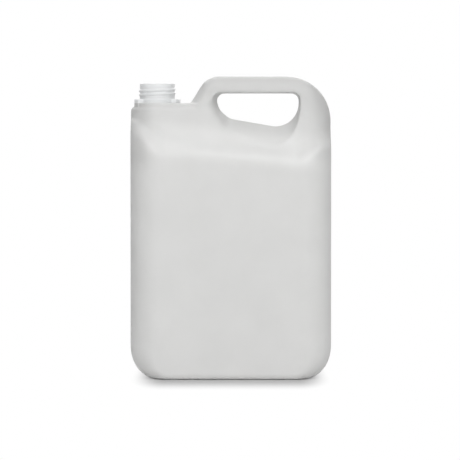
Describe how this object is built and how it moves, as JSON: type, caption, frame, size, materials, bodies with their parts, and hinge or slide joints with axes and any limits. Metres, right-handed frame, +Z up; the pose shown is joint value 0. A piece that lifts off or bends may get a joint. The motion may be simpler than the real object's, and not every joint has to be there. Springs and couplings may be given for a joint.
{
  "type": "plastic jerrycan",
  "caption": "Blow-moulded flat-sided liquid can with a moulded-in top handle, a sloping shoulder and an open screw neck beside the handle.",
  "frame": {"origin": "middle of the base, on the surface the can stands on", "axes": "+X across the broad face from the neck side to the handle side, +Y through the depth, +Z up"},
  "size_m": [0.2004, 0.12, 0.3008],
  "materials": {
    "hdpe": "natural white polyethylene, satin, slightly translucent"
  },
  "bodies": {
    "root": {"jerrycan": "hdpe"}
  },
  "joints": []
}
